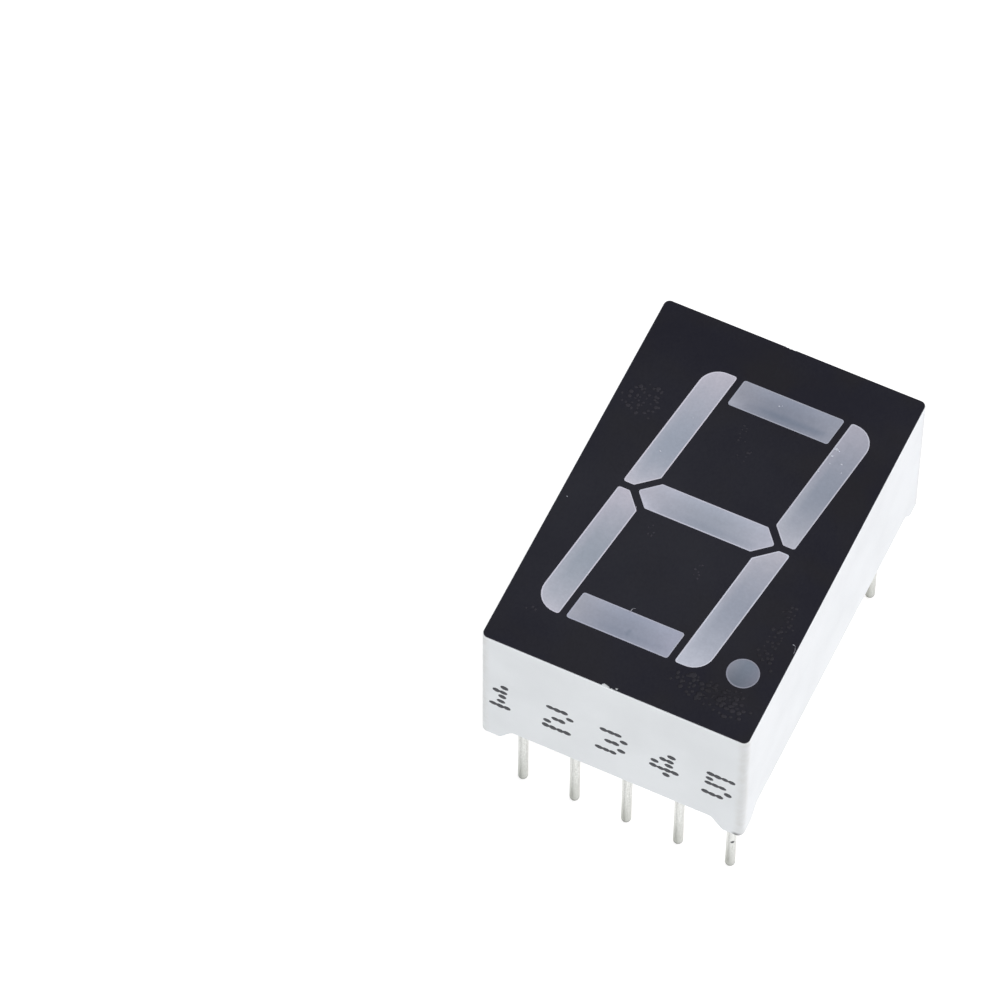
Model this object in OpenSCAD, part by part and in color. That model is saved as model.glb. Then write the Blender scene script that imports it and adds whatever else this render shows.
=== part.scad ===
// Single digit seven segment display with a decimal point and ten round pins.
// Millimetres. +Z leaves the face, +Y is the top of the digit, and the origin lies
// under the middle of the face, level with the tips of the pins.

/* [Casing] */
// Width of the casing, along X
case_w = 12.6; // [12.4:0.1:15.2]
// Length of the casing, along Y
case_l = 19; // [18.2:0.1:23]
// Height of the casing from its feet to its face
case_h = 8.2; // [7.2:0.1:10]
// Radius of the casing's upright corners
corner_r = 0.3; // [0.2:0.05:1]
// Radius of the casing's edge round the face
edge_r = 0.04; // [0.02:0.01:0.15]
// Thickness of the walls round the rear recess
wall = 0.6; // [0.4:0.05:0.65]
// Thickness of the deck between the face and the cored pockets
deck_t = 1.2; // [0.8:0.1:2]
// Height of the corner feet below the edge of the walls
foot_h = 0.75; // [0.4:0.05:1.2]
// Length of a foot along each wall, up to its slope
foot_l = 0.95; // [0.6:0.05:1.6]
// Length of the slope between a foot and the edge of the wall, along the wall
foot_run = 0.56; // [0.3:0.02:1]
// Radius of the two bends of a foot's slope
foot_round = 0.2; // [0.05:0.05:0.3]

/* [Digit] */
// Height of the digit
digit_h = 14.2; // [12.8:0.1:17]
// Width of the digit, measured level
digit_w = 8.17; // [7.4:0.01:9.4]
// Lean of the digit to the right, in degrees
slant = 8; // [0:0.5:12]
// Thickness of the level segments
bar_h = 1.45; // [1.1:0.05:1.8]
// Width of the upright segments, measured level
bar_w = 1.35; // [1.1:0.05:1.7]
// Gap between neighbouring segments
gap = 0.33; // [0.2:0.01:0.5]
// Radius of the digit's four outer corners
digit_r = 1; // [0.5:0.05:1.2]
// Radius of the other segment corners, left by the mould
mould_r = 0.12; // [0.05:0.01:0.16]
// Diameter of the decimal point
point_d = 1.46; // [1.3:0.02:1.7]
// Gap between the decimal point and the digit
point_gap = 0.73; // [0.4:0.01:0.9]

/* [Funnels and coat] */
// Thickness of the black coat on the face
coat_t = 0.05; // [0.02:0.01:0.1]
// Straight depth of a funnel below the face
mouth_t = 0.8; // [0.4:0.1:1.6]
// Length of a segment funnel's window at the board
window_l = 2.4; // [2:0.1:3]
// Width of a segment funnel's window at the board
window_w = 1; // [0.8:0.05:1.1]
// Diameter of the decimal point's window at the board
window_d = 1.2; // [1.1:0.05:1.25]

/* [Board] */
// Thickness of the circuit board without its copper
board_t = 1; // [0.6:0.1:1.2]
// Thickness of the copper and of the lacquer between the tracks
copper_t = 0.035; // [0.018:0.001:0.07]
// Clearance between the board and the walls
board_gap = 0.05; // [0.02:0.01:0.1]
// Width of a track
track_w = 0.4; // [0.25:0.05:0.5]
// Diameter of the pads round the pins
pad_d = 0.9; // [0.8:0.05:0.95]
// Thickness of the potting resin behind the board
potting_t = 0.9; // [0.5:0.1:1.2]
// Depth of the potting resin inside the edge of the walls
potting_inset = 0.25; // [0.1:0.05:0.5]

/* [Pins] */
// Diameter of a pin with its tin
pin_d = 0.46; // [0.4:0.02:0.6]
// Thickness of the tin that the pins are dipped in up to the feet
tin_t = 0.01; // [0.005:0.005:0.02]
// Length over which the tin thins out above the feet
tin_fade = 0.6; // [0.55:0.05:0.9]
// Reach of the pins below the feet
pin_reach = 6.5; // [3:0.1:8]
// Distance between neighbouring pins of a row
pitch = 2.54; // [2.3:0.01:2.58]
// Distance between the two rows of pins
row_gap = 15.24; // [15.2:0.01:16]
// Height of a pin's end above the board
pin_stand = 0.4; // [0.3:0.05:0.6]
// Clearance of a pin in its hole, measured on the radius
hole_gap = 0.03; // [0.01:0.01:0.06]

/* [Chips] */
// Side of a light-emitting chip
die_w = 0.3; // [0.2:0.02:0.36]
// Height of a light-emitting chip
die_h = 0.15; // [0.1:0.01:0.25]
// Distance from a chip to its bonding pad
bond_l = 0.7; // [0.6:0.05:0.8]
// Diameter of the bond wires
wire_d = 0.04; // [0.03:0.005:0.06]

/* [Hidden] */
$fn = 48;
eps = 0.01;             // overlap of a cut with the face it starts from
over = 1;               // reach of a cut past the walls
arc_steps = 8;          // chords in a fillet of the digit's outer corners
mould_steps = 3;        // chords in a small fillet
point_steps = 48;       // chords round the decimal point
pad_rim = 0.02;         // copper left showing round a solder joint
groove_rim = 0.03;      // space round a solder joint inside its groove
groove_top = 0.4;       // space above a pin's end inside its groove
land = 0.3;             // least plastic between a window and a pin groove
core_wall = 0.6;        // least plastic between a cored pocket and a funnel's mouth
recess_r = 0.2;         // least radius of the recess's upright corners
creep_share = 0.8;      // height of the resin's creep, as a share of its depth inside the walls
film = 0.02;            // thickness of the resin where its creep ends
letters = ["a", "b", "c", "d", "e", "f", "g"];
POINT = 7;              // the decimal point follows the seven segments
PIN_COUNT = 10;

// Heights above the tips of the pins
z_edge = pin_reach + foot_h;
z_potting = z_edge + potting_inset;
z_board = z_potting + potting_t;
z_copper = z_board + board_t;
z_rear = z_copper + copper_t;
z_face = pin_reach + case_h;
z_deck = z_face - coat_t;
z_mouth = z_face - mouth_t;

// Pins, casing, board and grooves in plan
bare_d = pin_d - 2 * tin_t;
inner_w = case_w - 2 * wall;
inner_l = case_l - 2 * wall;
inner_r = max(corner_r - wall, recess_r);
creep = creep_share * potting_inset;
board_w = inner_w - 2 * board_gap;
board_l = inner_l - 2 * board_gap;
groove_w = pad_d + 2 * groove_rim;
groove_y = row_gap / 2 - groove_w / 2 - land;   // windows stay nearer the middle than this

// Digit before it leans
half_h = digit_h / 2;
half_w = digit_w / 2;
upright_in = half_w - bar_w;            // inner edge of the upright segments
bar_l = 2 * (upright_in - gap);         // length of the level segments a and d
tip = half_w - bar_w / 2 - gap / 2;     // points of the middle segment
chamfer = tip + gap * sqrt(2);          // |x| + |y| along the slanted ends of the uprights
point_y = -half_h + point_d / 2;
point_x = half_w + point_gap + point_d / 2;

die_names = [for (s = letters) str("die_", s), "die_dp"];
wire_names = [for (s = letters) str("wire_", s), "wire_dp"];
fill_names = [for (s = letters) str("segment_", s), "decimal_point"];
pin_names = [for (i = [1:PIN_COUNT]) str("pin_", i)];

// ---- Outlines ----

function unit(v) = v / norm(v);
function turned(v, a) = [v.x * cos(a) - v.y * sin(a), v.x * sin(a) + v.y * cos(a)];

// The lean of the digit as a shear, and the same undone
function leaned(p) = [p.x + p.y * tan(slant), p.y];
function upright(p) = [p.x - p.y * tan(slant), p.y];

// The arc of radius r and n chords that rounds corner b of the outline a, b, c
function fillet(a, b, c, r, n) =
    let (u = unit(a - b), v = unit(c - b),
         half = acos(u * v) / 2,
         middle = b + unit(u + v) * r / sin(half),
         start = b + u * r / tan(half) - middle)
    [for (i = [0:n]) middle + turned(start, (180 - 2 * half) * i / n)];

// A counter-clockwise outline of corners [point, radius, chords], each one rounded
function rounded(corners) =
    let (n = len(corners))
    [for (i = [0:n - 1])
        each fillet(corners[(i + n - 1) % n][0], corners[i][0], corners[(i + 1) % n][0],
                    corners[i][1], corners[i][2])];

// Corners mirrored by the signs sx and sy, kept counter-clockwise
function mirrored(corners, sx, sy) =
    let (n = len(corners),
         flipped = [for (c = corners) [[c[0].x * sx, c[0].y * sy], c[1], c[2]]])
    sx * sy > 0 ? flipped : [for (i = [n - 1:-1:0]) flipped[i]];

function corner(x, y) = [[x, y], mould_r, mould_steps];

// Level bar at the top, for a and d
bar_corners = [
    corner(-bar_l / 2, half_h - bar_h), corner(bar_l / 2, half_h - bar_h),
    corner(bar_l / 2, half_h), corner(-bar_l / 2, half_h)];
// Upright at the top right, for b, c, e and f
upright_corners = [
    corner(upright_in, chamfer - upright_in), corner(chamfer - gap / 2, gap / 2),
    corner(half_w, gap / 2), [[half_w, half_h], digit_r, arc_steps],
    corner(upright_in, half_h)];
// Middle bar with pointed ends
middle_corners = [
    corner(-tip, 0), corner(bar_h / 2 - tip, -bar_h / 2), corner(tip - bar_h / 2, -bar_h / 2),
    corner(tip, 0), corner(tip - bar_h / 2, bar_h / 2), corner(bar_h / 2 - tip, bar_h / 2)];

// Corners of the segments a to g, before they lean
segment_corners = [
    bar_corners,
    upright_corners,
    mirrored(upright_corners, 1, -1),
    mirrored(bar_corners, 1, -1),
    mirrored(upright_corners, -1, -1),
    mirrored(upright_corners, -1, 1),
    middle_corners];

// Middle of each segment's box before it leans, and the box's size
centres = [
    [0, half_h - bar_h / 2], [half_w - bar_w / 2, half_h / 2],
    [half_w - bar_w / 2, -half_h / 2], [0, bar_h / 2 - half_h],
    [bar_w / 2 - half_w, -half_h / 2], [bar_w / 2 - half_w, half_h / 2],
    [0, 0], [point_x, point_y]];
function is_level(k) = k == 0 || k == 3 || k == 6;
function extent(k) =
    k == POINT ? [point_d, point_d] : k == 6 ? [2 * tip, bar_h] :
    is_level(k) ? [bar_l, bar_h] : [bar_w, half_h - gap / 2];
function window(k) =
    k == POINT ? [window_d, window_d] : is_level(k) ? [window_l, window_w] : [window_w, window_l];

// Leaned outline of segment k, where the funnel opens in the face
function outline(k) =
    k == POINT
    ? [for (i = [0:point_steps - 1])
        leaned(centres[k]) + turned([point_d / 2, 0], 360 * i / point_steps)]
    : rounded([for (c = segment_corners[k]) [leaned(c[0]), c[1], c[2]]]);

// Middle of segment k's window, which keeps clear of the pin grooves
function window_at(k) =
    let (c = leaned(centres[k]), most = groove_y - window(k).y / 2)
    [c.x, max(-most, min(most, c.y))];

// Point of the window's rim that lies under point p of the outline
function window_point(k, p) =
    let (c = leaned(centres[k]), s = window(k), e = extent(k),
         q = k == POINT ? p - c : upright(p - c),
         w = [q.x * s.x / e.x, q.y * s.y / e.y])
    window_at(k) + (k == POINT ? w : leaned(w));

// Chips, bonding pads and pins
function bond_way(k) =
    k == 3 || k == 6 ? [-1, 0] : k == 0 || k == POINT ? [1, 0] :
    unit(leaned([0, k == 1 || k == 5 ? 1 : -1]));
function die_at(k) = window_at(k) - (k == POINT ? bond_way(k) * bond_l / 2 : [0, 0]);
function bond_at(k) = die_at(k) + bond_way(k) * bond_l;
function pin_at(i) = i <= 5 ? [(i - 3) * pitch, -row_gap / 2] : [(8 - i) * pitch, row_gap / 2];

// Pins of the segments a to g and of the decimal point, and of the common net
segment_pins = [7, 6, 4, 2, 1, 9, 10, 5];
common_pins = [8, 3];
die_pad_d = 0.5;
bond_pad_d = 0.45;

// ---- Casing ----

module rounded_rect(w, l, r) {
    square([w - 2 * r, l], center = true);
    square([w, l - 2 * r], center = true);
    for (x = [-1, 1], y = [-1, 1])
        translate([x * (w / 2 - r), y * (l / 2 - r)]) circle(r);
}

// Half a section of a block, out to x = half, with its top corner rounded by radius e
module edge_profile(half, h, e) {
    square([half - e, h]);
    square([half, h - e]);
    translate([half - e, h - e]) intersection() {
        circle(e);
        square(e);
    }
}

// Block on a rounded rectangle of corner radius r, its top edge rounded by radius e
module rounded_block(w, l, r, h, e) {
    for (a = [0, 180]) {
        rotate([90, 0, a]) linear_extrude(l - 2 * r, center = true) edge_profile(w / 2, h, e);
        rotate([90, 0, a + 90]) linear_extrude(w - 2 * r, center = true) edge_profile(l / 2, h, e);
    }
    for (x = [-1, 1], y = [-1, 1])
        translate([x * (w / 2 - r), y * (l / 2 - r)]) rotate_extrude() edge_profile(r, h, e);
}

// A funnel: window at the board, straight mouth at the face
module funnel(k, below = 0) {
    rim = outline(k);
    n = len(rim);
    levels = concat(below > 0 ? [[z_rear - below, 0]] : [],
                    [[z_rear, 0], [z_mouth, 1], [z_face, 1]]);
    top = (len(levels) - 1) * n;
    polyhedron(
        points = [for (l = levels, p = rim)
            let (w = window_point(k, p), q = w + (p - w) * l[1]) [q.x, q.y, l[0]]],
        faces = concat(
            [[for (i = [0:n - 1]) i], [for (i = [n - 1:-1:0]) top + i]],
            [for (l = [0:len(levels) - 2], i = [0:n - 1])
                let (a = l * n + i, b = l * n + (i + 1) % n) each [[a, a + n, b + n], [a, b + n, b]]]));
}

// Space between two feet of a wall, in the wall's plane: x along it, y up from the feet.
// Each slope bends into the foot at its toe and into the wall's edge at its head.
module foot_notch(length) {
    toe = [length / 2 - foot_l, 0];
    head = toe + [-foot_run, foot_h];
    down = unit(toe - head);
    bend = foot_round * tan(atan(foot_h / foot_run) / 2);   // from a bend's corner to its ends
    head_middle = [head.x - bend, foot_h - foot_round];
    toe_middle = [toe.x + bend, foot_round];
    side = [[toe.x, -eps], toe, head + down * bend, [head_middle.x, foot_h]];
    polygon(concat(side, [for (i = [3:-1:0]) [-side[i].x, side[i].y]]));
    for (m = [0, 1]) mirror([m, 0]) {
        translate(head_middle) circle(foot_round);
        difference() {
            polygon([toe - down * bend, [toe.x, -eps], [toe_middle.x, -eps], toe_middle]);
            translate(toe_middle) circle(foot_round);
        }
    }
}

// Cored pocket inside a loop of the digit: sy is 1 for the upper loop, -1 for the lower
module cored_pocket(sy) {
    side = upright_in - core_wall;
    low = bar_h / 2 + core_wall;
    high = half_h - bar_h - core_wall;
    corners = mirrored([corner(-side, low), corner(side, low), corner(side, high), corner(-side, high)], 1, sy);
    translate([0, 0, z_rear - eps]) linear_extrude(z_deck - deck_t - z_rear + eps)
        polygon(rounded([for (c = corners) [leaned(c[0]), 2 * mould_r, arc_steps]]));
}

// Groove that clears the ends of a row of pins
module pin_groove(sy) {
    h = pin_stand + groove_top;
    reach = 2 * pitch;
    translate([0, sy * row_gap / 2, z_rear - eps]) {
        translate([-reach, -groove_w / 2, 0]) cube([2 * reach, groove_w, h]);
        for (x = [-reach, reach]) translate([x, 0, 0]) cylinder(h = h, d = groove_w);
    }
}

module housing() color("#e4e7ea") difference() {
    translate([0, 0, pin_reach])
        rounded_block(case_w, case_l, corner_r, z_deck - pin_reach, edge_r);
    translate([0, 0, pin_reach - eps]) linear_extrude(z_rear - pin_reach + eps)
        rounded_rect(inner_w, inner_l, inner_r);
    translate([0, 0, pin_reach]) {
        rotate([90, 0, 0]) linear_extrude(case_l + 2 * over, center = true) foot_notch(case_w);
        rotate([90, 0, 90]) linear_extrude(case_w + 2 * over, center = true) foot_notch(case_l);
    }
    for (sy = [-1, 1]) {
        cored_pocket(sy);
        pin_groove(sy);
    }
    for (k = [0:POINT]) funnel(k, below = eps);
}

// ---- Face ----

// Chips in the coat's two short edges: place along the edge, side of the face, depth of the
// middle inside the coat's edge, and radius. A middle outside the edge leaves a shallow nick.
coat_chips = [
    [-0.47, -1, 0, 0.12], [-0.38, -1, 0, 0.1], [-0.27, -1, 0, 0.07], [-0.1, -1, -0.1, 0.13],
    [0.1, -1, 0.08, 0.06],
    [-0.42, 1, -0.1, 0.13], [-0.27, 1, -0.1, 0.15], [-0.08, 1, -0.1, 0.14]];
chip_sides = 7;

// The coat ends where the casing's edge begins to round
module face_coat() color("#1d2026") translate([0, 0, z_deck]) linear_extrude(coat_t) difference() {
    rounded_rect(case_w - 2 * edge_r, case_l - 2 * edge_r, corner_r - edge_r);
    for (k = [0:POINT]) polygon(outline(k));
    for (c = coat_chips)
        translate([c[0], c[1] * (case_l / 2 - edge_r - c[2])]) circle(c[3], $fn = chip_sides);
}

// Resin cast in funnel k round its chip and wire
module fill(k) color("#a3a8ba") difference() {
    funnel(k);
    die(k);
    wire(k);
}

// ---- Board ----

module track(p, q) {
    d = q - p;
    translate(p) rotate(atan2(d.y, d.x)) translate([0, -track_w / 2]) square([norm(d), track_w]);
    for (e = [p, q]) translate(e) circle(d = track_w);
}

module route(points) for (i = [1:len(points) - 1]) track(points[i - 1], points[i]);

module pin_holes() for (i = [1:PIN_COUNT]) translate(pin_at(i)) circle(d = bare_d + 2 * hole_gap);

module track_layout() difference() {
    union() {
        shoulder = (die_at(0).y + die_at(1).y) / 2;
        step = die_at(POINT).x - die_at(2).x;
        outer = pin_at(10).x;
        route([pin_at(common_pins[0]), die_at(0), [0, shoulder], [0, -shoulder], die_at(3),
               pin_at(common_pins[1])]);
        for (k = [1, 2, 4, 5]) route([[0, die_at(k).y], die_at(k)]);
        route([die_at(2), die_at(2) + [step, -step], die_at(POINT)]);
        for (k = [0:POINT - 2]) route([bond_at(k), pin_at(segment_pins[k])]);
        route([bond_at(6), [outer, 0], pin_at(10)]);
        route([bond_at(POINT), pin_at(5)]);
        for (k = [0:POINT]) {
            translate(die_at(k)) circle(d = die_pad_d);
            translate(bond_at(k)) circle(d = bond_pad_d);
        }
        for (i = [1:PIN_COUNT]) translate(pin_at(i)) circle(d = pad_d);
    }
    pin_holes();
}

module copper_tracks() color("#c98a55") translate([0, 0, z_copper]) linear_extrude(copper_t) track_layout();

module circuit_board() color("#d8d2b8") {
    translate([0, 0, z_board]) linear_extrude(board_t) difference() {
        rounded_rect(board_w, board_l, inner_r);
        pin_holes();
    }
    translate([0, 0, z_copper]) linear_extrude(copper_t) difference() {
        rounded_rect(board_w, board_l, inner_r);
        track_layout();
        pin_holes();
    }
}

// Skirt round a bare pin, with a concave flank, as wide as it is high
module skirt(r) rotate_extrude() difference() {
    translate([bare_d / 2, 0]) square(r);
    translate([bare_d / 2 + r, r]) circle(r);
}

module solder_joints() color("#b9bcc0") for (i = [1:PIN_COUNT])
    translate([pin_at(i).x, pin_at(i).y, z_rear]) skirt(pad_d / 2 - bare_d / 2 - pad_rim);

// Potting resin: it creeps up the walls and the pins in a hollow curve
module back_resin() color("#e9e6da") difference() {
    union() {
        difference() {
            translate([0, 0, z_potting - creep]) linear_extrude(potting_t + creep)
                rounded_rect(inner_w, inner_l, inner_r);
            translate([0, 0, z_potting - creep - eps])
                rounded_block(inner_w - 2 * film, inner_l - 2 * film, inner_r + creep, creep + eps, creep);
        }
        for (i = [1:PIN_COUNT]) translate([pin_at(i).x, pin_at(i).y, z_potting])
            mirror([0, 0, 1]) skirt(creep);
    }
    for (i = [1:PIN_COUNT]) pin(i);
}

// ---- Chips and pins ----

module die(k) color("#c9c4a0") translate([die_at(k).x - die_w / 2, die_at(k).y - die_w / 2, z_rear])
    cube([die_w, die_w, die_h]);

// Bond wire: ball on the chip, half ring over to the pad, straight end down to the copper
module wire(k) color("gold") {
    way = bond_way(k);
    z_top = z_rear + die_h;
    translate([die_at(k).x, die_at(k).y, z_top]) rotate(atan2(way.y, way.x)) {
        cylinder(h = wire_d, d = 2 * wire_d);
        translate([bond_l / 2, 0, wire_d / 2]) rotate([90, 0, 0]) rotate_extrude(angle = 180)
            translate([bond_l / 2, 0]) circle(d = wire_d);
        translate([bond_l, 0, -die_h]) cylinder(h = die_h + wire_d / 2, d = wire_d);
    }
}

// Round pin: domed tip, tinned up to the feet, bare through the resin and the board
module pin(i) color("#c6c8c4") translate([pin_at(i).x, pin_at(i).y, 0]) rotate_extrude() {
    intersection() {
        translate([0, pin_d / 2]) circle(d = pin_d);
        square(pin_d / 2);
    }
    polygon([[0, pin_d / 2], [pin_d / 2, pin_d / 2], [pin_d / 2, pin_reach],
             [bare_d / 2, pin_reach + tin_fade], [bare_d / 2, z_rear + pin_stand],
             [0, z_rear + pin_stand]]);
}

housing();
face_coat();
circuit_board();
copper_tracks();
solder_joints();
back_resin();
for (k = [0:POINT]) {
    fill(k);
    die(k);
    wire(k);
}
for (i = [1:PIN_COUNT])
    pin(i);
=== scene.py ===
import math
import bpy
import numpy as np
from mathutils import Matrix, Vector


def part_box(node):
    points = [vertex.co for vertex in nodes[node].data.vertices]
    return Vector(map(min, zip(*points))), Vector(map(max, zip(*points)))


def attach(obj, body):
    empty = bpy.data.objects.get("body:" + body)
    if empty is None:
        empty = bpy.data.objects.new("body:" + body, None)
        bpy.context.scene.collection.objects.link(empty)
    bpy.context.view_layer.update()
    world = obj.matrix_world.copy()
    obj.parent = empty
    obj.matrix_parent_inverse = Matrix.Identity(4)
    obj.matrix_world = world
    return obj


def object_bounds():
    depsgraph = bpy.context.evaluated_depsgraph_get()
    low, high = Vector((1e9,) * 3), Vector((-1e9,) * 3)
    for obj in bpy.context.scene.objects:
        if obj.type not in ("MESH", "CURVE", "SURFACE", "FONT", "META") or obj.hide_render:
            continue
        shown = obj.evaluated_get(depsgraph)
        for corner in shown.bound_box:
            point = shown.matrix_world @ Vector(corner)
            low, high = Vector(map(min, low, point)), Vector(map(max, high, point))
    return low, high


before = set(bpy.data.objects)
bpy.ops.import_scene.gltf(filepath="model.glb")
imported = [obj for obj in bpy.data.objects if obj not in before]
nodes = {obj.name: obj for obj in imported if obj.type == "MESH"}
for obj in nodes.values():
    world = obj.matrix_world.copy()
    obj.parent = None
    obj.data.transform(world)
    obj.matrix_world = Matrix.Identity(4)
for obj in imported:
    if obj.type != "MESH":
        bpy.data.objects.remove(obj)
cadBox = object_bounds()
mm = 0.001
print("frame loaded:", len(nodes), "nodes")

# places taken from the frame: the face looks up, the digit's top is towards +Y
low, high = (Vector(c) for c in cadBox)
faceCentre = Vector(((low.x + high.x) / 2, (low.y + high.y) / 2, high.z))
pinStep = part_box("pin_2")[0].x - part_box("pin_1")[0].x
letters = "abcdefg"
resinNames = ["segment_" + s for s in letters] + ["decimal_point"]

# planes that small things lie on: a point, then the ways across, up and out
wayX, wayY, wayZ = (Vector(way) for way in ((1, 0, 0), (0, 1, 0), (0, 0, 1)))
facePlane = (faceCentre, wayX, wayY, wayZ)
wallPlane = (Vector((faceCentre.x, low.y, high.z)), wayX, wayZ, -wayY)

# settings that many maps share: an eased step, and the spans that a noise keeps to
eased = {"interpolation_type": "SMOOTHSTEP"}
wideNoise = {"From Min": 0.3, "From Max": 0.7}
midNoise = {"From Min": 0.35, "From Max": 0.65}
upperNoise = {"From Min": 0.35, "From Max": 0.7}


def linear(hexColour):
    # sRGB hex to linear RGBA
    parts = [int(hexColour[i:i + 2], 16) / 255 for i in (1, 3, 5)]
    return tuple(p / 12.92 if p <= 0.04045 else ((p + 0.055) / 1.055) ** 2.4 for p in parts) + (1.0,)


def addNode(tree, kind, settings, output=0):
    # one shader node: a setting is a property, an input's value or the output that feeds it
    node = tree.nodes.new("ShaderNode" + kind)
    for name, value in settings.items():
        if isinstance(name, str) and hasattr(node, name):
            setattr(node, name, value)
        elif isinstance(value, bpy.types.NodeSocket):
            tree.links.new(value, node.inputs[name])
        else:
            node.inputs[name].default_value = value
    return node.outputs[output] if len(node.outputs) else node


def startMaterial(name):
    # an empty material, with its tree and the object's own coordinates in metres
    material = bpy.data.materials.new(name)
    material.use_nodes = True
    material.node_tree.nodes.clear()
    return material, material.node_tree, addNode(material.node_tree, "TexCoord", {}, "Object")


def finishMaterial(material, settings):
    # closes a material with its surface
    surface = addNode(material.node_tree, "BsdfPrincipled", settings, "BSDF")
    addNode(material.node_tree, "OutputMaterial", {"Surface": surface})
    return material


def roundSpot(tree, place, centre, reach, levels):
    # an eased change between two levels round a point, from one distance to another, all in mm
    away = addNode(tree, "VectorMath", {"operation": "DISTANCE", 0: place,
                                        1: [c * mm for c in centre]}, "Value")
    return addNode(tree, "MapRange", {**eased, "Value": away,
                                      "From Min": reach[0] * mm, "From Max": reach[1] * mm,
                                      "To Min": levels[0], "To Max": levels[1]})


def dress(names, material):
    # gives CAD nodes their material
    for name in names:
        mesh = nodes[name].data
        mesh.materials.clear()
        mesh.materials.append(material)


# casing: moulded white polycarbonate, satin from a spark-eroded mould
casing = {
    "light": "#e5e9ec", "shade": "#dfe3e6", "roughness": (0.36, 0.5),
    "blotch": 3.0,          # mm, slow change of tone left by the melt's flow
    "grain": 0.12,          # mm, real grain is about 0.03 and would not show
    "grainDepth": 0.004,    # mm
    "cornerShade": "#d8dada", "cornerShadeShare": (1, 0.4),    # painted shade: the upright corners are greyer, in blots
    "cornerShadeReach": (0.15, 0.55), "cornerShadeBlot": 0.45,    # mm, reach from the corner
    "rimHighlightGain": 1.2,        # painted highlight: the sharp rim under the coat is lighter
    "rimHighlightReach": (0.07, 0.2),    # mm below the face
    "footDark": (6.0, -9.5, 6.52), "footDarkReach": (0, 0.3),    # mm, darker round a point at the lower edge of the near right foot
    "footDarkGain": (0.12, 1),
}


def casingMaterial():
    # moulding gives soft flow tones and a fine even grain that blurs every highlight
    material, tree, place = startMaterial("satinPolycarbonate")
    flow = addNode(tree, "TexNoise", {"Vector": place, "Scale": 1 / (casing["blotch"] * mm),
                                      "Detail": 3}, "Fac")
    grain = addNode(tree, "TexNoise", {"Vector": place, "Scale": 1 / (casing["grain"] * mm), "Detail": 3,
                                       "Roughness": 0.6}, "Fac")
    tone = addNode(tree, "MapRange", {"Value": flow, **midNoise})
    colour = addNode(tree, "Mix", {"data_type": "RGBA", "Factor": tone, 6: linear(casing["shade"]),
                                   7: linear(casing["light"])}, 2)

    # painted shade at the upright corners, by the distance in plan from the nearest one
    folded = addNode(tree, "VectorMath", {"operation": "ABSOLUTE", 0: place})
    inset = addNode(tree, "VectorMath", {"operation": "SUBTRACT", 0: folded, 1: (high.x, high.y, 0)})
    flat = addNode(tree, "VectorMath", {"operation": "MULTIPLY", 0: inset, 1: (1, 1, 0)})
    away = addNode(tree, "VectorMath", {"operation": "LENGTH", 0: flat}, "Value")
    blots = addNode(tree, "TexNoise", {"Vector": place, "Scale": 1 / (casing["cornerShadeBlot"] * mm),
                                       "Detail": 2}, "Fac")
    most, least = casing["cornerShadeShare"]
    share = addNode(tree, "MapRange", {"Value": blots, **midNoise, "To Min": most, "To Max": least})
    near, far = casing["cornerShadeReach"]
    share = addNode(tree, "MapRange", {**eased, "Value": away, "From Min": near * mm, "From Max": far * mm,
                                       "To Min": share, "To Max": 0})
    colour = addNode(tree, "Mix", {"data_type": "RGBA", "Factor": share, 6: colour,
                                   7: linear(casing["cornerShade"])}, 2)

    # the painted highlight along the rim, and the dark spot at one foot
    height = addNode(tree, "SeparateXYZ", {"Vector": place}, "Z")
    near, far = casing["rimHighlightReach"]
    rimHighlight = addNode(tree, "MapRange", {**eased, "Value": height, "From Min": high.z - far * mm,
                                      "From Max": high.z - near * mm,
                                      "To Min": 1, "To Max": casing["rimHighlightGain"]})
    footDark = roundSpot(tree, place, casing["footDark"], casing["footDarkReach"], casing["footDarkGain"])
    gain = addNode(tree, "Math", {"operation": "MULTIPLY", 0: rimHighlight, 1: footDark})
    colour = addNode(tree, "VectorMath", {"operation": "SCALE", 0: colour, "Scale": gain})
    smooth, dull = casing["roughness"]
    rough = addNode(tree, "MapRange", {"Value": grain, **wideNoise, "To Min": smooth, "To Max": dull})
    bump = addNode(tree, "Bump", {"Height": grain, "Distance": casing["grainDepth"] * mm, "Strength": 1.0})
    return finishMaterial(material, {"Base Color": colour, "Roughness": rough, "Normal": bump, "IOR": 1.58})


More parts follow.
